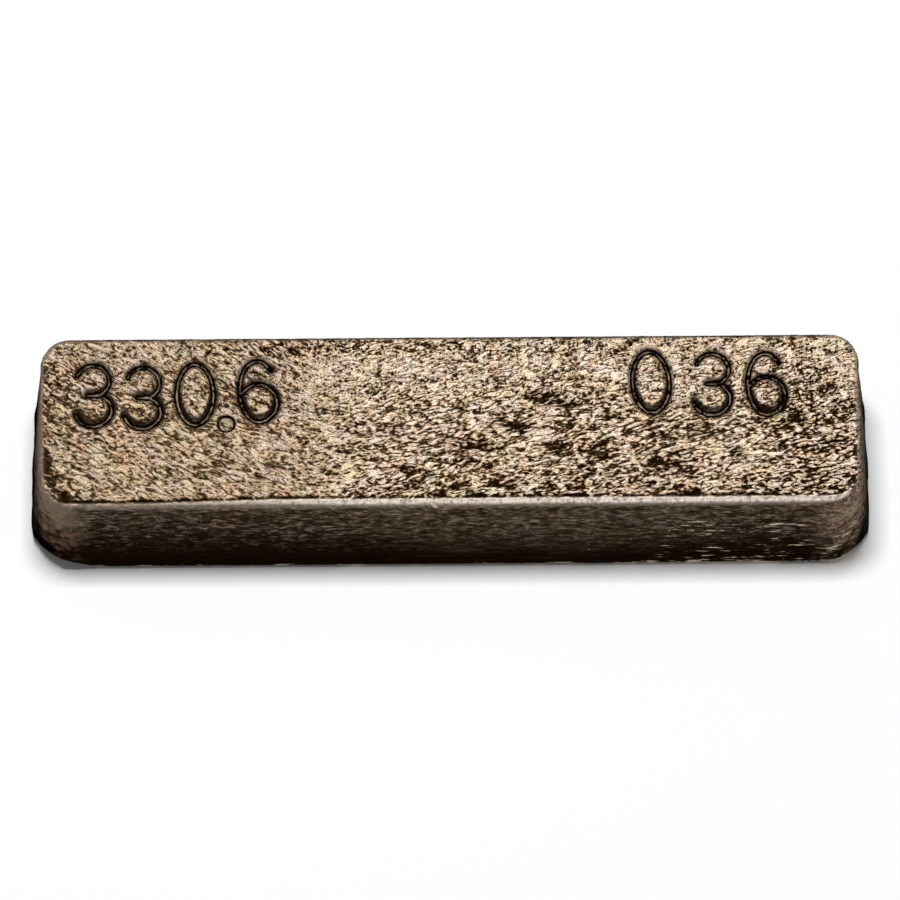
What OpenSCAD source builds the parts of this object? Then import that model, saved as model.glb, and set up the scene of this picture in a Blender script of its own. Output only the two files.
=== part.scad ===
// Hand-poured silver bar, cast in one piece in an open mould and laid on its poured face.
// The mould's floor made the smaller upper face, its sloping walls made the sides, and the
// open top of the mould made the larger base, which shrank a little along its middle.
// Lengths are in millimetres. The origin is the middle of the base, X runs along the bar.

/* [Bar] */
// Length overall, at the foot of the end walls
bar_length = 95.3; // [60:0.1:150]
// Width overall, at the foot of the side walls
bar_width = 23.2; // [20:0.1:40]
// Height from the base to the upper face
bar_height = 15.6; // [10:0.1:22]

/* [Mould] */
// Slope of the mould's walls away from upright, in degrees, which lets the bar drop out
wall_draft = 5; // [2:0.5:8]
// Radius of the upright corners, taken at the level of the upper face
corner_radius = 3.5; // [2:0.1:5]
// Radius of the rounded edge between the upper face and the walls
face_edge_radius = 1; // [0.4:0.1:1.8]

/* [Pour] */
// Radius of the soft edge that the molten metal kept round the base
pour_edge_radius = 0.6; // [0.2:0.1:1]
// Depth of the shrinkage sink at the middle of the base
sink_depth = 0.5; // [0.2:0.05:1]
// Width of the flat rim that is left between the sink and the edge of the base
sink_rim = 4.4; // [2:0.1:7]

/* [Hidden] */

// Warm grey of cast silver
silver_colour = [0.61, 0.53, 0.44];
// Facets of a round preview, and of the sink's much larger arc
$fn = 96;
sink_facets = 360;

// How far the walls spread from the upper face to the base, and the corner radius down there
wall_spread = bar_height * tan(wall_draft);
base_corner_radius = corner_radius + wall_spread;

// Centres of the two edge arcs in the wall's section, out from the corner centre
face_arc_x = corner_radius - face_edge_radius * (1 - sin(wall_draft)) / cos(wall_draft);
pour_arc_x = base_corner_radius - pour_edge_radius * (1 + sin(wall_draft)) / cos(wall_draft);
face_arc = [face_arc_x, bar_height - face_edge_radius];
pour_arc = [pour_arc_x, pour_edge_radius];
// Direction straight out of the sloping wall
wall_normal = [cos(wall_draft), sin(wall_draft)];

// The furthest that the wall reaches out from a corner centre
wall_reach = pour_arc_x + pour_edge_radius;
// The first corner centre, to the micron, so that the blocks round it meet face to face
corner_x = to_micron(bar_length / 2 - wall_reach);
corner_y = to_micron(bar_width / 2 - wall_reach);

// Size of the sink on the base, the radius of its arc, and how far its round ends are centred from the middle
sink_length = bar_length - 2 * sink_rim;
sink_width = bar_width - 2 * sink_rim;
sink_radius = arc_radius(sink_width, sink_depth);
sink_end = (sink_length - sink_width) / 2;

// Radius of the arc that rises by a height over a chord
function arc_radius(chord, height) = (chord * chord / 4 + height * height) / (2 * height);

// A length to the nearest thousandth of a millimetre
function to_micron(length) = round(length * 1000) / 1000;

// Section of the wall, from a corner centre outwards: base, pour edge, slope, face edge, upper face
module wall_section() {
    intersection() {
        union() {
            polygon([
                [0, 0],
                [pour_arc_x, 0],
                pour_arc + pour_edge_radius * wall_normal,
                face_arc + face_edge_radius * wall_normal,
                [face_arc_x, bar_height],
                [0, bar_height]
            ]);
            translate(face_arc) circle(face_edge_radius);
            translate(pour_arc) circle(pour_edge_radius);
        }
        square([base_corner_radius, bar_height]);
    }
}

// The mould's shape: a core block, with the wall's section run along each side and turned round each corner
module drafted_block() {
    translate([-corner_x, -corner_y, 0])
        cube([2 * corner_x, 2 * corner_y, bar_height]);
    for (turn = [0, 180]) rotate(turn) {
        translate([-corner_x, corner_y, 0])
            rotate([90, 0, 90]) linear_extrude(2 * corner_x) wall_section();
        translate([corner_x, corner_y, 0])
            rotate([90, 0, 0]) linear_extrude(2 * corner_y) wall_section();
        translate([corner_x, corner_y, 0])
            rotate_extrude(angle = 90) wall_section();
        translate([-corner_x, corner_y, 0])
            rotate(90) rotate_extrude(angle = 90) wall_section();
    }
}

// The shallow trough along the base where the last of the metal shrank as it set: a long round-ended
// roller, laid along the bar and sunk into the base by the depth of the sink
module shrinkage_sink() {
    translate([0, 0, sink_depth - sink_radius])
        rotate([0, 90, 0]) rotate_extrude(angle = 360, $fn = sink_facets)
            intersection() {
                union() {
                    translate([0, -sink_end]) square([sink_radius, 2 * sink_end]);
                    for (end = [-sink_end, sink_end]) translate([0, end]) circle(sink_radius);
                }
                translate([0, -sink_end - sink_radius])
                    square([sink_radius, 2 * (sink_end + sink_radius)]);
            }
}

module silver_bar() {
    color(silver_colour)
        difference() {
            drafted_block();
            shrinkage_sink();
        }
}

silver_bar();
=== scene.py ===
# %% [markdown]
# # A hand-poured silver bar
# The bar was poured in one go into an open mould, turned out, and stamped by hand. Its shape is plain,
# so almost everything that the eye reads is skin: the sandy grain that the mould's floor left on the
# upper face, the smooth chilled walls, the ragged foot where the pour ended, and the punched numbers.
# We load the measured solid first. It fixes every size, and the skin is built on a copy of it.

# %% Load the measured solid
import math

import bmesh
import bpy
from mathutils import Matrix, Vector


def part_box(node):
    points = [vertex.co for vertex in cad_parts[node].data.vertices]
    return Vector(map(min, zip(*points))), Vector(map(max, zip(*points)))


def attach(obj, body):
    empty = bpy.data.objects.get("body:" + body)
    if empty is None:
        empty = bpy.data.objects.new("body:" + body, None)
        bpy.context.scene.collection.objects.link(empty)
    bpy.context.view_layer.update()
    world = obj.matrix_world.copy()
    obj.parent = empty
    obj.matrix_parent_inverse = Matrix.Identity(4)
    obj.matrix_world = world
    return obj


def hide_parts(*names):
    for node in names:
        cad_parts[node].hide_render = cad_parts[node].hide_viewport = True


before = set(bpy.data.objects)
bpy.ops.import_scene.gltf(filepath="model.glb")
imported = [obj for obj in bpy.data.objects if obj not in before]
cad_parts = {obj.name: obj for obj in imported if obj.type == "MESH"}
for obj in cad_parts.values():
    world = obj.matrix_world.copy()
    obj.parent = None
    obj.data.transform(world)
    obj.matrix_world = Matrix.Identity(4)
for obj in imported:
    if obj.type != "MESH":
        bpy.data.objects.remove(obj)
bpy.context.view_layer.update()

MM = 0.001
NODE = "silver_bar"
low_corner, high_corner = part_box(NODE)
bar_length = (high_corner.x - low_corner.x) / MM
bar_width = (high_corner.y - low_corner.y) / MM
bar_height = (high_corner.z - low_corner.z) / MM
print(f"bar {bar_length:.1f} x {bar_width:.1f} x {bar_height:.1f} mm")

# %% [markdown]
# ## The camera
# The picture was taken from a steep angle with a long lens, so the bar's edges hardly converge. A camera
# a good metre away with a narrow view gives that. The lens follows from how much of the picture's width
# the bar fills, so the framing stays right if the bar's length changes.

# %% Camera
PICTURE_SIDE = 900
BAR_SPAN_PIXELS = 840.5
CAMERA_DISTANCE = 1.2
CAMERA_ELEVATION = math.radians(68)
CAMERA_AZIMUTH = math.radians(-0.45)
AIM_HEIGHT = 6.4 * MM

scene = bpy.context.scene
scene.view_settings.view_transform = "Standard"

camera_data = bpy.data.cameras.new("long_lens")
camera = bpy.data.objects.new("long_lens", camera_data)
scene.collection.objects.link(camera)
scene.camera = camera

aim = Vector((0, 0, AIM_HEIGHT))
towards_camera = Vector((
    math.sin(CAMERA_AZIMUTH) * math.cos(CAMERA_ELEVATION),
    -math.cos(CAMERA_AZIMUTH) * math.cos(CAMERA_ELEVATION),
    math.sin(CAMERA_ELEVATION),
))
camera.location = aim + CAMERA_DISTANCE * towards_camera
camera.rotation_euler = towards_camera.to_track_quat("Z", "Y").to_euler()
view_width = bar_length * MM * PICTURE_SIDE / BAR_SPAN_PIXELS
camera_data.lens = camera_data.sensor_width * CAMERA_DISTANCE / view_width
print(f"lens {camera_data.lens:.0f} mm for a view {view_width / MM:.1f} mm wide")

# %% [markdown]
# ## Sums between nodes
# Shader and geometry trees do their arithmetic in Math nodes. Wrapping a socket in a small class with
# Python's operators lets us write `1 - mask` or `height * 0.2` and have the nodes added for us. Every
# other node comes from one method, which takes the node's type, its settings and its sockets.

# %% A socket that can be added and multiplied
class Wire:
    """A socket that takes part in Python sums. Each operator adds one Math node."""

    def __init__(self, tree, socket):
        self.tree = tree
        self.socket = socket

    def output(self, name):
        return Wire(self.tree, self.socket.node.outputs[name])

    def math(self, operation, first, second):
        return self.tree.node("ShaderNodeMath", {"operation": operation}, {0: first, 1: second})

    def __add__(self, other):
        return self.math("ADD", self, other)

    def __sub__(self, other):
        return self.math("SUBTRACT", self, other)

    def __rsub__(self, other):
        return self.math("SUBTRACT", other, self)

    def __mul__(self, other):
        return self.math("MULTIPLY", self, other)

    def __truediv__(self, other):
        return self.math("DIVIDE", self, other)

    def __pow__(self, other):
        return self.math("POWER", self, other)

    def __abs__(self):
        return self.math("ABSOLUTE", self, 0)

    def at_least(self, other):
        return self.math("MAXIMUM", self, other)

    def at_most(self, other):
        return self.math("MINIMUM", self, other)

    __radd__ = __add__
    __rmul__ = __mul__


# %% A tree that makes nodes
class Tree:
    """A node tree, with one method that adds any node and a few short names for common ones."""

    def __init__(self, node_tree):
        self.node_tree = node_tree

    def node(self, kind, settings=None, sockets=None, output=0):
        made = self.node_tree.nodes.new(kind)
        for name, value in (settings or {}).items():
            setattr(made, name, value)
        for key, value in (sockets or {}).items():
            if isinstance(value, Wire):
                self.node_tree.links.new(value.socket, made.inputs[key])
            else:
                made.inputs[key].default_value = value
        return Wire(self, made.outputs[output])

    def smooth(self, value, low, high):
        """0 below low and 1 above high, with a soft step between; a low above high turns it round."""
        sockets = {"Value": value, "From Min": low, "From Max": high}
        return self.node("ShaderNodeMapRange", {"interpolation_type": "SMOOTHSTEP"}, sockets)

    def noise(self, place, size, seed, detail=2.0, roughness=0.5, bend=0.0):
        """Cloudy noise from -1 to 1 with lumps of about the given size."""
        sockets = {
            "Vector": place, "W": seed, "Scale": 1 / size,
            "Detail": detail, "Roughness": roughness, "Distortion": bend,
        }
        return self.node("ShaderNodeTexNoise", {"noise_dimensions": "4D"}, sockets) * 2 - 1

    def cells(self, place, size):
        """Distance to the nearest of many scattered points, 0 at a point, in units of size."""
        return self.node("ShaderNodeTexVoronoi", {}, {"Vector": place, "Scale": 1 / size})

    def vector(self, x, y, z):
        return self.node("ShaderNodeCombineXYZ", {}, {0: x, 1: y, 2: z})

    def parts(self, vector):
        apart = self.node("ShaderNodeSeparateXYZ", {}, {0: vector})
        return apart, apart.output("Y"), apart.output("Z")

    def vector_math(self, operation, first, second):
        return self.node("ShaderNodeVectorMath", {"operation": operation}, {0: first, 1: second})

    def scaled(self, vector, factor):
        return self.node("ShaderNodeVectorMath", {"operation": "SCALE"}, {0: vector, "Scale": factor})


print("node sums ready")

# %% [markdown]
# ## The floor and the light
# A pale sheet lies under the bar. A large soft box hangs above and behind it, so the upper face mirrors
# the box and its grain stands out: slopes that lean to the viewer fall dark. A lower box in front draws
# the bright line along the near rim. These two are only mirrored by the metal. A small box overhead
# lights the sheet and gives the close shadow, and is kept out of the reflections, as a flag would in a
# studio. The world adds a dim, even fill. The sheet shows a little whiter than it is lit, to the camera
# and in the metal alike, and keeps the shadow.

# %% Floor
FLOOR_SIDE = 3.0
FLOOR_COLOUR = (0.97, 0.97, 0.97, 1)
FLOOR_GLOW = 0.03

floor_mesh = bpy.data.meshes.new("pale_floor")
half = FLOOR_SIDE / 2
floor_mesh.from_pydata(
    [(-half, -half, 0), (half, -half, 0), (half, half, 0), (-half, half, 0)], [], [(0, 1, 2, 3)]
)
floor = bpy.data.objects.new("pale_floor", floor_mesh)
scene.collection.objects.link(floor)

floor_material = bpy.data.materials.new("pale_sheet")
floor_material.use_nodes = True
floor_material.node_tree.nodes.clear()
sheet = Tree(floor_material.node_tree)
path = sheet.node("ShaderNodeLightPath", output="Is Camera Ray")
shows = path.at_least(path.output("Is Glossy Ray")).at_least(path.output("Is Transmission Ray"))
paper = sheet.node("ShaderNodeBsdfDiffuse", {}, {"Color": FLOOR_COLOUR})
white = sheet.node("ShaderNodeEmission", {}, {"Color": (1, 1, 1, 1), "Strength": 1.0})
lit_sheet = sheet.node("ShaderNodeMixShader", {}, {0: shows * FLOOR_GLOW, 1: paper, 2: white})
surface_out = floor_material.node_tree.nodes.new("ShaderNodeOutputMaterial")
floor_material.node_tree.links.new(lit_sheet.socket, surface_out.inputs["Surface"])
floor_mesh.materials.append(floor_material)
print("floor ready")

# %% Fill and soft boxes
FILL_LEVEL = 0.12

world = bpy.data.worlds.new("studio")
scene.world = world
world.use_nodes = True
world.node_tree.nodes["Background"].inputs["Color"].default_value = (1, 1, 1, 1)
world.node_tree.nodes["Background"].inputs["Strength"].default_value = FILL_LEVEL


def soft_box(name, sides, radiance, distance, elevation, behind):
    """A lit panel, in metres and degrees, that faces the bar from behind it or from the viewer's side."""
    climb = math.radians(elevation)
    data = bpy.data.lights.new(name, "AREA")
    data.shape = "RECTANGLE"
    data.size, data.size_y = sides
    data.energy = radiance * math.pi * sides[0] * sides[1]
    lamp = bpy.data.objects.new(name, data)
    scene.collection.objects.link(lamp)
    along_floor = math.cos(climb) if behind else -math.cos(climb)
    way = Vector((0, along_floor, math.sin(climb)))
    lamp.location = distance * way
    lamp.rotation_euler = way.to_track_quat("Z", "Y").to_euler()
    print(f"{name} {data.energy:.2f} W")
    return lamp


TOP_BOX_SHIFT = -0.028

back_box = soft_box("back_box", (0.9, 0.6), radiance=1.35, distance=0.6, elevation=66, behind=True)
front_box = soft_box("front_box", (0.9, 0.4), radiance=1.25, distance=0.6, elevation=42, behind=False)
top_box = soft_box("top_box", (0.24, 0.15), radiance=54.0, distance=0.8, elevation=82, behind=True)
top_box.location.x = TOP_BOX_SHIFT
top_box.visible_glossy = False
for card in (back_box, front_box):
    card.visible_diffuse = False

# %% [markdown]
# ## The wall's section
# The relief has to know where the flat of the upper face ends and its rounded edge begins. Both follow
# from the mould: a wall that leans out by the draft, rounded at the face and softer at the pour.

# %% Where the flat of the upper face ends
WALL_DRAFT = math.radians(5)
CORNER_RADIUS = 3.5
FACE_EDGE_RADIUS = 1.0
POUR_EDGE_RADIUS = 0.6

wall_spread = bar_height * math.tan(WALL_DRAFT)
draft_in = (1 - math.sin(WALL_DRAFT)) / math.cos(WALL_DRAFT)
draft_out = (1 + math.sin(WALL_DRAFT)) / math.cos(WALL_DRAFT)
flat_corner = CORNER_RADIUS - FACE_EDGE_RADIUS * draft_in
foot_reach = CORNER_RADIUS + wall_spread - POUR_EDGE_RADIUS * draft_out + POUR_EDGE_RADIUS
flat_inset = foot_reach - flat_corner
flat_half_length = bar_length / 2 - flat_inset
flat_half_width = bar_width / 2 - flat_inset
print(f"flat of the upper face {2 * flat_half_length:.1f} x {2 * flat_half_width:.1f} mm")

# %% [markdown]
# ## The punched numbers
# Each digit was struck with a steel punch, so it is a narrow groove of even width along a drawn line.
# We only need those lines. Every digit is made of elliptic arcs and short strokes in a box one unit
# high, and is then laid on the face at its own place and turn, because a hand never strikes twice alike.

# %% Digit strokes
DIGIT_HEIGHT = 7.4
DIGIT_WIDTH = 0.56
ARC_STEPS = 28


def arc(centre, radii, start, end):
    """Points of an elliptic arc between two angles in degrees."""
    points = []
    for step in range(ARC_STEPS + 1):
        angle = math.radians(start + (end - start) * step / ARC_STEPS)
        points.append((centre[0] + radii[0] * math.cos(angle), centre[1] + radii[1] * math.sin(angle)))
    return points


half_digit = DIGIT_WIDTH / 2
BOWL = 0.31
DIGITS = {
    "0": [arc((0, 0.5), (half_digit, 0.5), 0, 360)],
    "3": [
        arc((0, 0.745), (0.9 * half_digit, 0.255), 160, -78),
        arc((0, 0.265), (half_digit, 0.265), 82, -162),
        [(-0.3 * half_digit, 0.51), (0.25 * half_digit, 0.51)],
    ],
    "6": [
        arc((0, 0.5), (half_digit, 0.5), 42, 270)
        + arc((0, BOWL), (half_digit, BOWL), -90, 148)[1:]
    ],
}

# Each strike: the digit, its middle along and across the face in millimetres, and its turn in degrees.
# The left-hand number is the bar's own weight in grams, the right-hand one a plain running number.
STRIKES = [
    ("3", -40.2, 3.3, 1.0),
    ("3", -34.6, 3.0, -1.5),
    ("0", -28.7, 3.4, 0.5),
    ("6", -21.6, 3.7, 2.0),
    ("0", 22.7, 4.5, 3.0),
    ("3", 29.6, 4.2, -1.0),
    ("6", 35.7, 4.2, 1.5),
]
DOTS = [(-25.2, -0.3)]
print(f"{len(STRIKES)} digits, {len(DOTS)} point")

# %% Crevices and a nick
# Crevices are the places where the metal met the mould too cold to close, each a short bent line.
CREVICES = [
    [(-45.7, -3.4), (-45.2, -6.2), (-44.5, -8.0), (-43.2, -8.9)],
    [(42.6, -8.6), (44.2, -8.1), (45.4, -7.5)],
    [(-1.0, -4.4), (1.2, -3.3), (3.0, -2.2), (4.4, -3.4)],
    [(-6.4, -4.8), (-4.8, -6.0), (-3.6, -7.6)],
    [(4.2, -5.6), (5.6, -7.4), (7.0, -8.4)],
    [(11.6, -3.4), (15.0, -3.6), (18.2, -4.0)],
    [(5.8, -0.2), (8.0, -0.9)],
    [(9.2, 2.9), (12.2, 2.1)],
    [(23.4, -4.9), (26.2, -5.8)],
    [(24.6, -8.0), (27.4, -8.7)],
    [(38.8, -0.3), (42.4, -0.7)],
]
NICKS = [
    [(-2.9, -9.0), (-2.5, -9.6), (-2.2, -10.1), (-1.4, -10.5)],
    [(-2.1, -9.2), (-1.9, -9.7)],
]
print(f"{len(CREVICES)} crevices, {len(NICKS)} lines of a nick")


# %% Lines as helper objects
def edge_object(name, lines):
    """A helper object whose mesh is only edges, or lone points, flat at height 0."""
    points = []
    edges = []
    for line in lines:
        first = len(points)
        points.extend((x * MM, y * MM, 0) for x, y in line)
        edges.extend((first + step, first + step + 1) for step in range(len(line) - 1))
    mesh = bpy.data.meshes.new(name)
    mesh.from_pydata(points, edges, [])
    made = bpy.data.objects.new(name, mesh)
    scene.collection.objects.link(made)
    return made


stroke_lines = []
for digit, middle_x, middle_y, turn in STRIKES:
    cosine = math.cos(math.radians(turn))
    sine = math.sin(math.radians(turn))
    for stroke in DIGITS[digit]:
        line = []
        for unit_x, unit_y in stroke:
            right = unit_x * DIGIT_HEIGHT
            up = (unit_y - 0.5) * DIGIT_HEIGHT
            line.append((middle_x + right * cosine - up * sine, middle_y + right * sine + up * cosine))
        stroke_lines.append(line)
guides = {
    "Strokes": edge_object("stroke_lines", stroke_lines),
    "Dots": edge_object("dot_points", [[dot] for dot in DOTS]),
    "Crevices": edge_object("crevice_lines", CREVICES),
    "Nicks": edge_object("nick_lines", NICKS),
}
print({title: len(guide.data.vertices) for title, guide in guides.items()})

# %% [markdown]
# ## The skin as a geometry tree
# The skin follows the surface, so Geometry Nodes make it: noise fields push each point of a dense copy
# of the bar in or out along its normal. The tree has named inputs for its sizes, in millimetres, and
# it also stores how deep each point ended up, which the metal's finish reads later.

# %% Inputs of the relief tree
relief_group = bpy.data.node_groups.new("cast_relief", "GeometryNodeTree")
relief = Tree(relief_group)
relief_group.interface.new_socket("Geometry", in_out="OUTPUT", socket_type="NodeSocketGeometry")
relief_group.interface.new_socket("Geometry", in_out="INPUT", socket_type="NodeSocketGeometry")

RELIEF_SIZES = {
    "Swell depth": 0.10,
    "Grain depth": 0.26,
    "Lump depth": 0.30,
    "Wrinkle depth": 0.34,
    "Pit depth": 0.14,
    "Crevice depth": 0.13,
    "Rim groove depth": 0.20,
    "Punch depth": 0.40,
    "Punch half width": 0.52,
    "Punch lip": 0.03,
    "Punch draw": 0.42,
    "Dot radius": 0.95,
    "Nick depth": 0.12,
    "Chill line depth": 0.05,
    "Wall swell": 0.07,
    "Foot raggedness": 0.30,
    "Corner lift": 2.6,
    "Corner shortfall": 0.85,
    "Far end shortfall": 0.3,
    "Base lumps": 0.16,
    "Seed": 7.0,
}
identifiers = {}
for title in RELIEF_SIZES:
    made = relief_group.interface.new_socket(title, in_out="INPUT", socket_type="NodeSocketFloat")
    identifiers[title] = made.identifier
for title in guides:
    made = relief_group.interface.new_socket(title, in_out="INPUT", socket_type="NodeSocketObject")
    identifiers[title] = made.identifier
made = relief_group.interface.new_socket("Finish", in_out="INPUT", socket_type="NodeSocketMaterial")
identifiers["Finish"] = made.identifier

given = relief.node("NodeGroupInput", output="Geometry")
size = {title: given.output(title) for title in identifiers}
print(f"{len(identifiers)} named inputs")

# %% Places and masks
position = relief.node("GeometryNodeInputPosition")
normal = relief.node("GeometryNodeInputNormal")
place = relief.scaled(position, 1 / MM)
x, y, z = relief.parts(place)
seed = size["Seed"]
flat_place = relief.vector(x, y, 0)

# How far a point lies inside the flat of the upper face; below nought it is on the rounded edge.
beyond_x = (abs(x) - (flat_half_length - flat_corner)).at_least(0)
beyond_y = (abs(y) - (flat_half_width - flat_corner)).at_least(0)
corner_gap = (beyond_x * beyond_x + beyond_y * beyond_y) ** 0.5
straight_x = flat_half_length - abs(x)
straight_y = flat_half_width - abs(y)
inset = straight_x.at_most(straight_y).at_most(flat_corner - corner_gap)

# The grain rolls a little way over the edges of the face, and least over the near rim.
EDGE_ROLL = 0.85
near_side = relief.smooth(y, -6.0, -8.5) * relief.smooth(abs(x), 46.0, 43.5)
near_face = relief.smooth(z, bar_height - 1.0, bar_height - 0.4)
near_roll = 0.2 + 0.45 * relief.smooth(x, -15, -38)
upper = near_face * relief.smooth(inset + EDGE_ROLL + near_side * (near_roll - EDGE_ROLL), -0.25, 0.35)
under = relief.smooth(z, 0.62, 0.05)


def gap_to(title, element="EDGES", nudge=0.0):
    """Distance on the face from a point, nudged across it, to the nearest guide, in millimetres."""
    lines = relief.node("GeometryNodeObjectInfo", {}, {"Object": size[title]}, output="Geometry")
    sockets = {0: lines, "Sample Position": relief.scaled(relief.vector(x, y - nudge, 0), MM)}
    near = relief.node("GeometryNodeProximity", {"target_element": element}, sockets, output="Distance")
    return near / MM


print("masks ready")

# %% [markdown]
# ### Grain of the upper face
# The mould's floor was coated with sandy wash, and the metal froze on it in low waves. So there are
# three sizes of grain: sand, lumps with creases between them, and waves that lean one way at the left
# end and the other way at the right end, where they are strongest.

# %% Grain fields
LEFT_LEAN = math.radians(-28)
RIGHT_LEAN = math.radians(14)
WAVE_SIZE = 0.72
WAVE_STRETCH = 3.4
# Each grain: its size in millimetres, and how much longer it is along the bar than across it.
FAR_SAND = (0.44, 1.15)
NEAR_SAND = (0.4, 2.1)
FAR_LUMPS = (0.85, 1.3)
NEAR_LUMPS = (0.8, 2.8)
LUMP_MEAN = 0.2
SWELL_SIZE = 9.0
PIT_SPACING = 0.95
# The face goes from its far to its near half between these two places across it.
NEAR_HALF = (4, -1)


def waves(lean, seed_step):
    """Noise drawn out along a lean, like low waves that run across the face."""
    along = x * math.cos(lean) + y * math.sin(lean)
    across = y * math.cos(lean) - x * math.sin(lean)
    leaning = relief.vector(along / WAVE_STRETCH, across, 0)
    return relief.noise(leaning, WAVE_SIZE, seed + seed_step, detail=2, bend=0.2)


def drawn_out(grain_shape, seed_step, detail=1.5, bend=0.0):
    """Noise whose lumps are longer along the bar than across it."""
    lump_size, stretch = grain_shape
    longer = relief.vector(x / stretch, y, 0)
    return relief.noise(longer, lump_size, seed + seed_step, detail=detail, roughness=0.6, bend=bend)


near_half = relief.smooth(y, *NEAR_HALF)
far_weight = (1 - near_half) ** 0.5
near_weight = near_half ** 0.5
swell = relief.noise(flat_place, SWELL_SIZE, seed + 1, detail=1)
sand = far_weight * drawn_out(FAR_SAND, 2) + near_weight * drawn_out(NEAR_SAND, 22)
far_lumps = abs(drawn_out(FAR_LUMPS, 3, detail=1, bend=0.4)) - LUMP_MEAN
near_lumps = abs(drawn_out(NEAR_LUMPS, 23, detail=1, bend=0.2)) - LUMP_MEAN
lumps = far_weight * far_lumps + near_weight * near_lumps
left_share = relief.smooth(x, 6, -16)
right_share = relief.smooth(x - 0.8 * y, -24, 16)
wave_height = (
    waves(LEFT_LEAN, 4) * left_share * 0.7
    + waves(RIGHT_LEAN, 5) * right_share * (0.9 + 0.7 * relief.smooth(x, 33, 44))
)

pits = relief.smooth(relief.cells(flat_place, PIT_SPACING), 0.34, 0.14)
pit_patch = relief.smooth(0.5 * relief.noise(flat_place, 7, seed + 6, detail=1) + 0.05 * y, 0.05, 0.4)
print("sand, lumps, waves and pits")

# %% Crevices
drawn = relief.smooth(gap_to("Crevices"), 1.7, 0.1)
cold_patch = relief.smooth(relief.noise(relief.vector(x / 2, y, 0), 3.2, seed + 8, detail=2), 0.0, 0.35)
cold_patch = cold_patch * relief.smooth(x, -18, 0) * relief.smooth(y - 0.1 * x, 5, -1)
torn = relief.noise(relief.vector(x / 2, y, 0), 1.1, seed + 9, detail=3, roughness=0.65)
crevice = relief.smooth(torn + 0.6 * drawn.at_least(0.75 * cold_patch), 0.3, 0.8)
crevice = crevice * (1 + 0.6 * drawn)

# Metal bridged the sand, so the tops are flatter than the hollows are deep. The left end froze calmer.
calm = 1 - 0.4 * relief.smooth(x, -8, -24)
grain = sand * size["Grain depth"] * calm
grain = grain + lumps * size["Lump depth"] * calm + wave_height * size["Wrinkle depth"]
grain = grain.at_most(0) + 0.4 * grain.at_least(0)
grain_height = grain - pits * pit_patch * size["Pit depth"] - crevice * size["Crevice depth"]
print("crevices ready")

# %% Groove inside the near rim
GROOVE_HALF_WIDTH = 0.36
GROOVE_INSET = 0.3
LEAST_GROOVE = 0.8

ragged = relief.noise(relief.vector(x / 1.6, y, 0), 0.7, seed + 7, detail=3, roughness=0.65)
groove_wander = relief.noise(flat_place, 2.4, seed + 10, detail=3)
groove_line = abs(inset - GROOVE_INSET + near_roll - 0.3 * groove_wander)
groove = relief.smooth(groove_line, GROOVE_HALF_WIDTH, 0.03) * near_side
groove_strength = (0.65 + near_roll + 0.9 * groove_wander + 0.25 * ragged).at_least(LEAST_GROOVE)
rim_groove = groove * groove_strength * size["Rim groove depth"]
print("rim groove ready")

# %% [markdown]
# ### Punched digits
# A punch cuts a narrow groove, raises a faint lip beside it, and drags the face down round it. All
# three are steps of the distance to the nearest stroke, which the Proximity node measures.

# %% Punch fields
DRAG_REACH = 1.5
FAR_SHADE_REACH = 1.05
FAR_SHADE_NUDGE = 0.38

stroke_gap = gap_to("Strokes")
dot_gap = gap_to("Dots", "POINTS")
half_width = size["Punch half width"]
dot_radius = size["Dot radius"]
stroke_cut = relief.smooth(stroke_gap, half_width, 0.05)
dot_cut = relief.smooth(dot_gap, dot_radius + 0.15, dot_radius - 0.25)
cut = stroke_cut.at_least(0.6 * dot_cut) * upper
outside = (stroke_gap - half_width).at_most(dot_gap - dot_radius - 0.15)
lip = relief.smooth(outside, 0.5, 0.1) * relief.smooth(outside, -0.2, 0.1)
# The face bends down towards each stroke, more and more steeply, and a painted shade lies on its
# far side, where the bent face leans towards the viewer.
dragged = (1 - stroke_gap / DRAG_REACH).at_least(0) ** 2
soot_side = (1 - gap_to("Strokes", nudge=FAR_SHADE_NUDGE) / FAR_SHADE_REACH).at_least(0) ** 1.5
soot_side = soot_side * (0.5 + 0.65 * relief.smooth(y, 6.0, 1.5))
dot_ring = relief.smooth(abs(dot_gap - dot_radius), 0.3, 0.06)
shadowed = stroke_cut.at_least(0.52 * dot_ring).at_least(0.16 * dot_cut) * upper

nick_gap = gap_to("Nicks")
nick = relief.smooth(nick_gap, 0.2, 0.06) * relief.smooth(z, bar_height - 1.4, bar_height - 0.8)
print("punch fields ready")

# %% [markdown]
# ### Walls, foot and base
# The walls chilled in thin level lines. The pour ended in a ragged foot that doesn't quite fill the
# mould's corners, and the base, which faced the air, froze in shallow lumps.

# %% Wall, foot and base fields
CHILL_SIZE = 0.42
CHILL_SQUEEZE = 0.06
WALL_SWELL_SIZE = 11
FOOT_LUMP_SIZE = 1.8
BASE_LUMP_SIZE = 3.6

chill_place = relief.vector(x * CHILL_SQUEEZE, y * CHILL_SQUEEZE, z)
chill = relief.noise(chill_place, CHILL_SIZE, seed + 11, detail=3, roughness=0.6)
wall_swell = relief.noise(place, WALL_SWELL_SIZE, seed + 12, detail=2)
foot = relief.smooth(z, 3.4, 0.6)
at_end = relief.smooth(abs(x), flat_half_length - 1.0, flat_half_length + 1.0)
foot_place = relief.vector(x, y, z * 0.7)
foot_lumps = relief.noise(foot_place, FOOT_LUMP_SIZE, seed + 13, detail=3, roughness=0.6)
foot_cut = (0.05 + 0.9 * foot_lumps).at_least(0) * foot * (0.15 + 0.85 * at_end)

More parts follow.
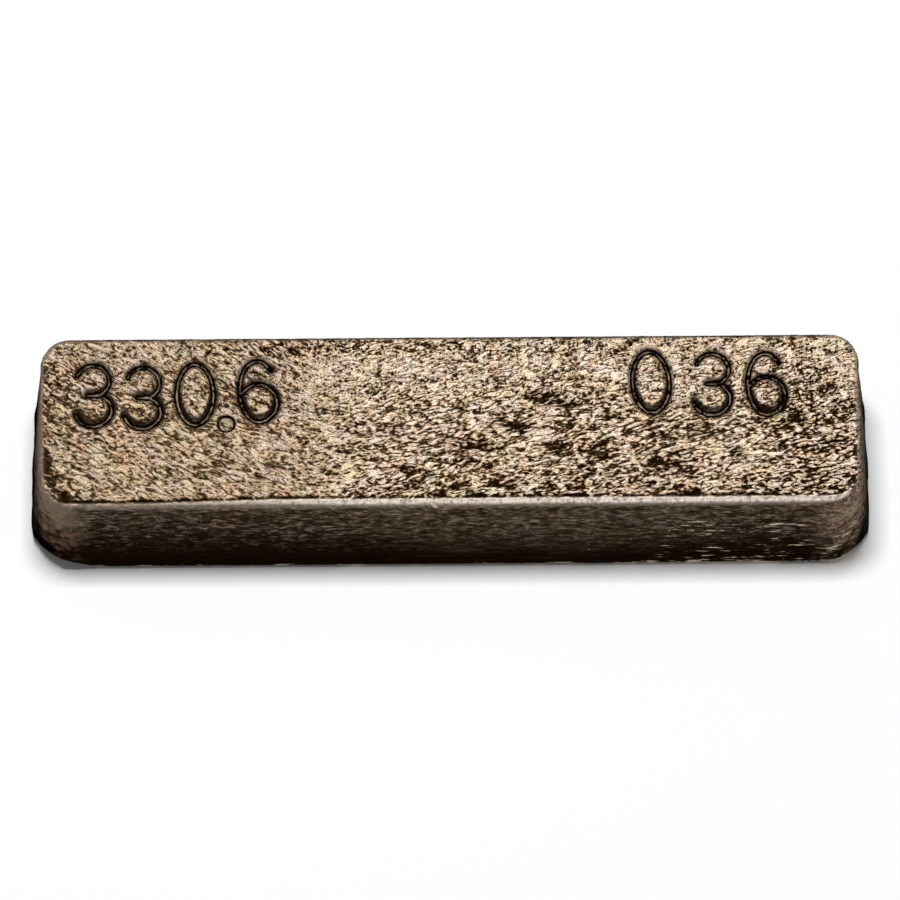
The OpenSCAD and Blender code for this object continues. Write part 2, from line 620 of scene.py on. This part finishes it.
corner_x = bar_length / 2 - CORNER_RADIUS
corner_y = bar_width / 2 - CORNER_RADIUS
past_corner = ((abs(x) - corner_x).at_least(0) * (abs(y) - corner_y).at_least(0)) ** 0.5
short_side = relief.smooth(y, 4, -4).at_least(0.6 * relief.smooth(x, -10, 10))
shortfall = relief.smooth(past_corner, 0.6, 2.4) * relief.smooth(z, 6.0, 1.0) * short_side
# The end walls stand a little further in on the far side.
far_end = at_end * relief.smooth(y, 0, 5) * relief.smooth(z, bar_height, bar_height - 1.0)

wall_height = (
    chill * size["Chill line depth"] * (1 - 0.5 * foot) * (1 - near_face)
    - (0.5 - 0.5 * wall_swell) * size["Wall swell"]
    - foot_cut * size["Foot raggedness"]
    - shortfall * size["Corner shortfall"]
    - far_end * size["Far end shortfall"]
)
# The pour stopped short of the two near corners, where the base turns up.
towards_left = relief.smooth(-0.8 * x - 1.3 * y, 46.5, 52.0)
towards_right = 0.5 * relief.smooth(0.8 * x - 1.3 * y, 48.0, 52.0)
lift = towards_left.at_least(towards_right) * relief.smooth(z, 5.0, 0.0) * size["Corner lift"]
base_lumps = relief.noise(flat_place, BASE_LUMP_SIZE, seed + 14, detail=3)
base_height = (base_lumps * 0.8 - 0.5) * size["Base lumps"]
print("wall and base fields ready")

# %% Push the points and store what the finish needs
FACE_SINK = 0.12

face_height = (
    swell * size["Swell depth"] - FACE_SINK * relief.smooth(inset, -0.7, 1.2)
    + grain_height * (1 - 0.85 * cut) * (1 - 0.8 * dragged)
    - rim_groove
    - cut * size["Punch depth"]
    - dragged * size["Punch draw"] * (1 - cut)
    + lip * size["Punch lip"]
)
edge = (1 - upper) * (1 - under)
height = face_height * upper + wall_height * edge + base_height * under - nick * size["Nick depth"]
moved = relief.vector_math("ADD", position, relief.scaled(normal, height * MM))
moved = relief.vector_math("ADD", moved, relief.vector(0, 0, lift * MM))
moved = relief.vector_math("MAXIMUM", moved, tuple(low_corner))
moved = relief.vector_math("MINIMUM", moved, tuple(high_corner))

stored_fields = {
    "depth": (rim_groove - grain_height * (1 - cut) * (1 - 0.5 * dragged)) * upper,
    "soot_side": soot_side * upper,
    "stroke": stroke_gap.at_most(2.0) ** 2,
    "shadowed": shadowed,
    "upper": upper,
    "drop": bar_height - z,
    "nick": nick,
}
skin = given
for name, field in stored_fields.items():
    sockets = {"Geometry": skin, "Name": name, "Value": field}
    skin = relief.node("GeometryNodeStoreNamedAttribute", {"data_type": "FLOAT", "domain": "POINT"}, sockets)
skin = relief.node("GeometryNodeSetPosition", {}, {"Geometry": skin, "Position": moved})
skin = relief.node("GeometryNodeSetShadeSmooth", {}, {"Geometry": skin})
skin = relief.node("GeometryNodeRealizeInstances", {}, {"Geometry": skin})
skin = relief.node("GeometryNodeSetMaterial", {}, {"Geometry": skin, "Material": size["Finish"]})
group_out = relief_group.nodes.new("NodeGroupOutput")
relief_group.links.new(skin.socket, group_out.inputs["Geometry"])
print(f"relief tree of {len(relief_group.nodes)} nodes")

# %% [markdown]
# ## The finish of the metal
# Silver that was poured and left alone is warm and satin. Brown oxide stays where nothing rubs it off:
# in the hollows of the grain and on the walls, which met the cold mould. The punched grooves are painted
# near black, a painted shade, and the walls' dark brown is partly painted shade as well.
# One Principled shader carries it. The colour goes from bright metal to oxide by the stored depth, and
# its hue wanders a little, as it does on metal that tarnished in air.

# %% Helpers of the finish
finish = bpy.data.materials.new("cast_silver")
finish.use_nodes = True
metal = Tree(finish.node_tree)
shader = finish.node_tree.nodes["Principled BSDF"]

MIX_FACTOR, MIX_A, MIX_B, MIX_RESULT = 0, 6, 7, 2


def blend(factor, first, second):
    """A colour between two others."""
    sockets = {MIX_FACTOR: factor, MIX_A: first, MIX_B: second}
    return metal.node("ShaderNodeMix", {"data_type": "RGBA"}, sockets, MIX_RESULT)


def stored(name):
    return metal.node("ShaderNodeAttribute", {"attribute_name": name}, output="Fac")


def drive(wire, socket_name):
    finish.node_tree.links.new(wire.socket, shader.inputs[socket_name])


object_place = metal.node("ShaderNodeTexCoord", output="Object")
spot = metal.scaled(object_place, 1 / MM)
spot_x, spot_y, spot_z = metal.parts(spot)
print("finish started")

# %% Colours and parts of the upper face
BRIGHT = (0.94, 0.752, 0.58, 1)
TARNISHED = (0.68, 0.53, 0.4, 1)
GLINT_TAN = (0.62, 0.452, 0.303, 1)
ROSY_TAN = (0.66, 0.42, 0.275, 1)
OLIVE_TAN = (0.56, 0.435, 0.25, 1)
BROWN = (0.115, 0.066, 0.032, 1)
OXIDE_AND_SHADE = (0.011, 0.0044, 0.0011, 1)
GROOVE_SHADE_BLACK = (0.0022, 0.0006, 0.0002, 1)

# Each part of the face is 0 outside and 1 inside, with a soft step between, in millimetres.
left_end = metal.smooth(spot_x, -8, -22)
left_tip = metal.smooth(spot_x, -36, -43)
right_end = metal.smooth(spot_x, 8, 18)
right_tip = metal.smooth(spot_x, 32, 42)
near_part = metal.smooth(spot_y, *NEAR_HALF)
far_half = metal.smooth(spot_y, 1, 8)
near_middle = near_part * metal.smooth(abs(spot_x - 6), 18, 8)
# The near side of the left end froze smoothest, and a strip along the far edge is pitted.
smooth_part = near_part * left_end
far_strip = metal.smooth(spot_y, 7.3, 8.3) * metal.smooth(abs(spot_x + 2), 26, 14)
print("parts of the face marked")

# %% Creases and grit
CREASE_SIZE = 0.55
CREASE_STRETCH = 2.8
CREASE_MEAN = 0.7
FAR_GRIT_SIZE = 0.29
NEAR_GRIT_SIZE = 0.27
NEAR_GRIT_STRETCH = 1.9


def creases(lean, noise_seed):
    """Fine creases that run along a lean: 0 in a crease and up to 1 between them."""
    along = spot_x * math.cos(lean) + spot_y * math.sin(lean)
    across = spot_y * math.cos(lean) - spot_x * math.sin(lean)
    leaning = metal.vector(along / CREASE_STRETCH, across, 0)
    field = metal.noise(leaning, CREASE_SIZE, noise_seed, detail=1.5, bend=0.3)
    return metal.smooth(abs(field), 0.0, 0.22)


crease_height = creases(LEFT_LEAN, 37.0) * left_end + creases(RIGHT_LEAN, 38.0) * (1 - left_end)
crease_height = crease_height - CREASE_MEAN
long_spot = metal.vector(spot_x / NEAR_GRIT_STRETCH, spot_y, spot_z)
far_grit = metal.noise(spot, FAR_GRIT_SIZE, 36.0, detail=2, roughness=0.55).at_most(0.12)
near_grit = metal.noise(long_spot, NEAR_GRIT_SIZE, 44.0, detail=2, roughness=0.55).at_most(0.22)
grit = (1 - near_part) ** 0.5 * far_grit + near_part ** 0.5 * near_grit
liveliness = 1.2 - 0.1 * near_part - 0.42 * left_end - 0.08 * smooth_part + 0.4 * far_strip
liveliness = liveliness + 0.5 * right_tip
fine_level = (0.43 * grit + 0.19 * crease_height) * liveliness
print("creases and grit ready")

# %% From bright metal to oxide
# A spot's level is its stored depth in millimetres, less the fine grain, with a tone that wanders over
# the face and a stain that each part has of its own. Each colour takes over between two levels.
TONE_SIZE = 4.0
TONE_STRETCH = 1.8
TAN_LEVELS = (-0.07, 0.1)
BROWN_LEVELS = (0.045, 0.155)
OXIDE_LEVELS = (0.11, 0.28)

tone_place = metal.vector(spot_x / TONE_STRETCH, spot_y, spot_z)
tone = metal.noise(tone_place, TONE_SIZE, 31.0, detail=4, roughness=0.6)
stain = 0.08 * left_end + 0.02 * left_tip + 0.02 * near_middle - 0.05 * far_half
stain = stain + (0.025 + 0.021 * right_end) * near_part - 0.036 * smooth_part
stain = stain + 0.042 * far_strip - 0.045
level = stored("depth") - fine_level + 0.09 * tone + stain
tan_share = metal.smooth(level, *TAN_LEVELS)
brown_share = metal.smooth(level, *BROWN_LEVELS)
oxide_share = metal.smooth(level, *OXIDE_LEVELS)


def patches(where, lump_size, noise_seed, softness=0.35, roughness=0.6):
    """Soft patches of two kinds: 0 in the one and 1 in the other."""
    field = metal.noise(where, lump_size, noise_seed, detail=3, roughness=roughness)
    return metal.smooth(field, -softness, softness)


tan_colour = blend(patches(spot, 2.2, 41.0), ROSY_TAN, OLIVE_TAN)
face_colour = blend(0.85 * left_end, BRIGHT, TARNISHED)
face_colour = blend(tan_share, face_colour, tan_colour)
face_colour = blend(brown_share, face_colour, BROWN)
face_colour = blend(oxide_share, face_colour, OXIDE_AND_SHADE)
print("bright metal to oxide ready")

# %% Hue of the face
# The hue wanders a little, between cool and straw and between olive and rose.
COOL_TINT = (0.97, 1.0, 1.08, 1)
STRAW_TINT = (1.03, 1.0, 0.91, 1)
OLIVE_TINT = (0.98, 1.025, 0.985, 1)
ROSY_TINT = (1.03, 0.975, 1.0, 1)


def tinted(colour, share, first, second):
    """A colour multiplied by a tint that lies between two others."""
    settings = {"data_type": "RGBA", "blend_type": "MULTIPLY"}
    sockets = {MIX_FACTOR: 1.0, MIX_A: colour, MIX_B: blend(share, first, second)}
    return metal.node("ShaderNodeMix", settings, sockets, MIX_RESULT)


straw_share = patches(spot, 1.9, 48.0, softness=0.33, roughness=0.55)
rosy_share = patches(spot, 2.0, 49.0, roughness=0.55)
face_colour = tinted(face_colour, straw_share, COOL_TINT, STRAW_TINT)
face_colour = tinted(face_colour, rosy_share, OLIVE_TINT, ROSY_TINT)
print("hue of the face ready")

# %% Painted shade round the strokes and a painted highlight in the grooves
FAR_SHADE_STRENGTH = 0.92
GROOVE_GLINT_STRENGTH = 0.42

# Painted shade on the far side of each stroke, where the bent face leans towards the viewer, in oxide
# colour.
far_shade_mask = metal.smooth(stored("soot_side") + 0.45 * grit, 0.1, 0.65)
face_colour = blend(FAR_SHADE_STRENGTH * far_shade_mask, face_colour, OXIDE_AND_SHADE)
# The grooves, and the ring and hollow of the point, are painted near black: a painted shade of their depth.
groove_shade = metal.smooth(stored("shadowed"), 0.05, 0.5)
# A broken tan line along the middle of each groove is a painted highlight, where the groove's floor would
# catch the light.
groove_glint = metal.smooth(stored("stroke") + 0.008 * grit, 0.016, 0.005)
groove_glint = groove_glint * metal.smooth(metal.noise(spot, 1.3, 40.0, detail=2), -0.5, 0.3)
face_colour = blend(groove_shade, face_colour, GROOVE_SHADE_BLACK)
face_colour = blend(GROOVE_GLINT_STRENGTH * groove_glint, face_colour, GLINT_TAN)
print("soot ready")

# %% [markdown]
# ### Colour of the walls
# The walls are dark brown, partly a wash they took on from the cold mould and partly painted shade for
# the dark surroundings they mirror, in level streaks that the shrinking metal drew out. Each streak could
# be drawn, but noise that is squeezed along the bar gives any number of them, all level. The walls are
# painted darker towards the foot, a painted shade, and the corners lighter, a painted highlight. Bare
# metal shows in flecks along the foot.

# %% Streaks and threads
WALL_BROWN = (0.078, 0.06, 0.0455, 1)
WALL_BLACK = (0.0045, 0.0033, 0.0026, 1)
WALL_LIGHT = (0.30, 0.25, 0.205, 1)
STREAK_SIZE = 0.7
THREAD_SIZE = 0.38


def level_place(share):
    """Places squeezed along and across the bar, so that the noise on its walls comes out long and level."""
    return metal.vector(spot_x * share, spot_y * share, spot_z)


streak = metal.noise(level_place(0.12), STREAK_SIZE, 33.0, detail=3, roughness=0.65)
# The walls are painted darker towards the foot: a painted shade of the floor's shadow that they mirror. In
# the middle it reaches less far up.
lighter_middle = 4.5 * metal.smooth(abs(spot_x - 9), 26, 10) - 2.2
foot_shade = metal.smooth(spot_z + 8.0 * streak + lighter_middle, 16.0, 3.0)
wall_colour = blend(foot_shade, WALL_BROWN, WALL_BLACK)
threads = metal.noise(level_place(0.36), THREAD_SIZE, 39.0, detail=3, roughness=0.75, bend=0.3)
bright_threads = metal.smooth(threads, -0.02, 0.38) * metal.smooth(spot_z, 2.5, 12.5)
wall_colour = blend(bright_threads, wall_colour, WALL_LIGHT)
wall_colour = blend(metal.smooth(threads, 0.08, -0.28), wall_colour, WALL_BLACK)
print("streaks and threads ready")

# %% Painted light on the corners and painted shade on the end walls
LIT_CORNER = (0.23, 0.166, 0.13, 1)
LIT_CORNER_DARK = (0.08, 0.056, 0.043, 1)
LIT_CORNER_LIGHT = (0.5, 0.37, 0.29, 1)
PATCH_SIZE = 1.6
SPECKLE_SIZE = 0.4

# The corners are painted lighter, a painted highlight where side light would catch them, speckled most at
# the right end.
corner_light = metal.smooth(abs(spot_x), bar_length / 2 - 8, bar_length / 2 - 2.5)
patch_noise = metal.noise(spot, PATCH_SIZE, 35.0, detail=4, roughness=0.65)
corner_light_patch = metal.smooth(patch_noise + 0.05 * spot_z + 0.2 * right_end, 0.15, 0.75)
speckle = metal.noise(spot, SPECKLE_SIZE, 47.0, detail=3, roughness=0.7)
speckled = blend(metal.smooth(speckle, -0.2, 0.35), LIT_CORNER_DARK, LIT_CORNER_LIGHT)
lit_corner_colour = blend(0.2 + 0.8 * right_end, LIT_CORNER, speckled)
wall_colour = blend(corner_light * corner_light_patch, wall_colour, lit_corner_colour)
end_wall = metal.smooth(abs(spot_x), flat_half_length + 0.3, flat_half_length + 1.4)
# The end walls are painted darker in streaks and most of all low down: a painted shade.
wall_colour = blend(0.75 * end_wall * metal.smooth(streak, 0.5, -0.3), wall_colour, WALL_BLACK)
end_foot_shade = metal.smooth(spot_z + 3.0 * patch_noise, 9.5, 6.0)
wall_colour = blend(0.8 * end_wall * end_foot_shade, wall_colour, WALL_BLACK)
print("corners and end walls ready")

# %% Hue and flecks of the walls
WALL_COOL = (0.98, 1.0, 1.04, 1)
WALL_STRAW = (1.02, 1.0, 0.95, 1)
WALL_OLIVE = (0.96, 1.04, 0.97, 1)
WALL_ROSE = (1.06, 0.96, 0.97, 1)
FLECK_SIZE = 0.44

hue_place = level_place(0.3)
wall_colour = tinted(wall_colour, patches(hue_place, 2.0, 50.0), WALL_COOL, WALL_STRAW)
wall_colour = tinted(wall_colour, patches(hue_place, 2.8, 51.0, softness=0.3), WALL_OLIVE, WALL_ROSE)
# Bare metal shows in short level flecks, mostly low down at the right, and in dashes along the near foot.
near_edge = metal.smooth(spot_y, -7.0, -9.5)
base_dashes = (0.05 + 0.19 * near_edge) * metal.smooth(spot_z, 1.3, 0.5)
fleck_share = 0.36 - 0.2 * metal.smooth(spot_x, 8, 32) - base_dashes
fleck_noise = metal.noise(level_place(0.16), FLECK_SIZE, 34.0, detail=4, roughness=0.75)
flecks = metal.smooth(fleck_noise - fleck_share, 0.0, 0.1)
flecks = flecks * metal.smooth(spot_z, 12.5, 10.0) * (1 - 0.85 * end_wall)
wall_colour = blend(flecks, wall_colour, BRIGHT)
print("wall colours ready")

# %% [markdown]
# ### The rim
# The near edge carries a painted highlight beside the front box's reflection: its rounded edge is
# coloured pale at the top and dull lower down. Over the other edges the oxide of the walls comes up to the
# face. The bright line could be a piece of its own, but the stored drop below the face already tells the
# shader where the rim is, so the line follows the metal.

# %% Rim, and the colour as a whole
DULL = (0.34, 0.275, 0.225, 1)
RIM_HIGHLIGHT = (0.97, 0.85, 0.73, 1)
RIM_GRAIN_SIZE = 0.45

rim_drop = 0.14 + 0.42 * near_edge * metal.smooth(abs(spot_x), 44.5, 40.0)
rim_wander = metal.noise(metal.vector(spot_x / 2, 0, 0), 1.2, 46.0, detail=3, roughness=0.6)
rim_edge_noise = 0.06 * streak + 0.08 * tone + 0.15 * grit + 0.2 * near_edge * rim_wander
rim_end = -0.5 - 0.6 * near_edge
rim_band = metal.smooth((rim_drop - stored("drop") + rim_edge_noise) / rim_drop, rim_end, 0.9)
on_face = metal.smooth(stored("upper"), 0.0, 1.0)
rim_grain = metal.noise(spot, RIM_GRAIN_SIZE, 45.0, detail=3, roughness=0.7)
rim_stain = metal.smooth(0.5 * tone + 0.3 * streak + 2.0 * rim_grain, -0.2, 0.7)
# The rim is pale at the top of its rounded edge and dull further down: a painted highlight, widest along the
# near edge.
rim_colour = blend(metal.smooth(stored("drop") + 0.2 * left_end, 0.14, 0.55), RIM_HIGHLIGHT, DULL)
rim_colour = blend(0.64 * rim_stain, rim_colour, BROWN)
colour = blend(rim_band, wall_colour, blend(on_face, rim_colour, face_colour))
colour = blend(0.6 * metal.smooth(stored("nick"), 0.3, 0.8), colour, BRIGHT)
drive(colour, "Base Color")
print("rim ready")

# %% Gloss and grit
GLANCING_TINT = (0.6, 0.5, 0.4, 1)
BRIGHT_ROUGHNESS = 0.27
OXIDE_ROUGHER = 0.2
WALL_ROUGHER = 0.16
FINE_SIZE = 0.18
BUMP_HEIGHT = 0.07 * MM

# The tint on the metal keeps the glancing light on the dark walls brown instead of white.
shader.inputs["Specular Tint"].default_value = GLANCING_TINT
shader.inputs["Specular IOR Level"].default_value = 0.0

long_wall = near_edge.at_least(metal.smooth(spot_y, 7.0, 9.5) * metal.smooth(stored("drop"), 0.8, 1.6))
dull = (1 - rim_band) * (1 - 0.5 * long_wall * (1 - end_wall))
# The metal gives way to matt colour where there is oxide and where the grooves' painted shade lies.
oxide_and_groove_shade = on_face * (0.75 * oxide_share).at_least(groove_shade * (1 - 0.6 * groove_glint))
drive((1 - dull * (1 - 0.6 * flecks)) * (1 - oxide_and_groove_shade), "Metallic")
roughness = BRIGHT_ROUGHNESS + OXIDE_ROUGHER * brown_share * on_face + WALL_ROUGHER * (1 - on_face)
drive(roughness, "Roughness")

fine = metal.noise(spot, FINE_SIZE, 32.0, detail=2)
grain_bump = (grit + 0.5 * fine + crease_height) * (0.3 + 0.7 * on_face) * (1 - 0.7 * far_shade_mask)
bumps = grain_bump + (0.5 * streak + 0.8 * threads + 1.6 * flecks) * (1 - rim_band)
bump = metal.node("ShaderNodeBump", {}, {"Strength": 1.0, "Distance": BUMP_HEIGHT, "Height": bumps})
drive(bump, "Normal")
print(f"finish of {len(finish.node_tree.nodes)} nodes")

# %% [markdown]
# ## From solid to skin
# The measured solid's mesh has long thin triangles. A voxel remesh gives an even net of small squares
# that is fine enough for the grain. After the relief, Decimate spends the triangle budget where the
# surface bends: the grainy face keeps its points and the smooth walls give theirs up.

# %% Build the skin
VOXEL = 0.15 * MM
TRIANGLE_BUDGET = 192_000
WELD_DISTANCE = 1e-6

core_mesh = bpy.data.objects[NODE].data.copy()
core = bmesh.new()
core.from_mesh(core_mesh)
bmesh.ops.remove_doubles(core, verts=core.verts, dist=WELD_DISTANCE)
core.to_mesh(core_mesh)
core.free()
workpiece = bpy.data.objects.new("workpiece", core_mesh)
scene.collection.objects.link(workpiece)

remesh = workpiece.modifiers.new("even_net", "REMESH")
remesh.mode = "VOXEL"
remesh.voxel_size = VOXEL
remesh.adaptivity = 0
cast = workpiece.modifiers.new("cast_relief", "NODES")
cast.node_group = relief_group
for title, value in RELIEF_SIZES.items():
    cast[identifiers[title]] = value
for title, guide in guides.items():
    cast[identifiers[title]] = guide
cast[identifiers["Finish"]] = finish


def plain_mesh(thing, name):
    """The mesh of an object with its modifiers applied."""
    graph = bpy.context.evaluated_depsgraph_get()
    made = bpy.data.meshes.new_from_object(thing.evaluated_get(graph))
    made.name = name
    return made


dense = plain_mesh(workpiece, "dense_skin")
dense.calc_loop_triangles()
print(f"dense skin of {len(dense.loop_triangles)} triangles")

# %% Thin the skin to its budget
workpiece.modifiers.clear()
workpiece.data = dense
thin = workpiece.modifiers.new("budget", "DECIMATE")
thin.ratio = TRIANGLE_BUDGET / len(dense.loop_triangles)
skin_mesh = plain_mesh(workpiece, "cast_silver_bar")
skin_mesh.calc_loop_triangles()
face_points = [point.value for point in skin_mesh.attributes["upper"].data]
face_share = sum(value > 0.5 for value in face_points) / len(face_points)
print(f"kept {len(skin_mesh.loop_triangles)} triangles, {face_share:.0%} of the points on the upper face")

depths = sorted(
    depth.value for depth, value in zip(skin_mesh.attributes["depth"].data, face_points) if value > 0.9
)
SHARES = (0.02, 0.1, 0.25, 0.5, 0.75, 0.9, 0.98)
marks = [round(depths[int(len(depths) * share)], 3) for share in SHARES]
print(f"depths of the grain {marks} mm")

for helper in (workpiece, *guides.values()):
    bpy.data.objects.remove(helper)

# %% Hand the skin to the frame
bar = bpy.data.objects.new("cast_silver_bar", skin_mesh)
scene.collection.objects.link(bar)
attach(bar, "root")
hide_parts(NODE)

bpy.context.view_layer.update()
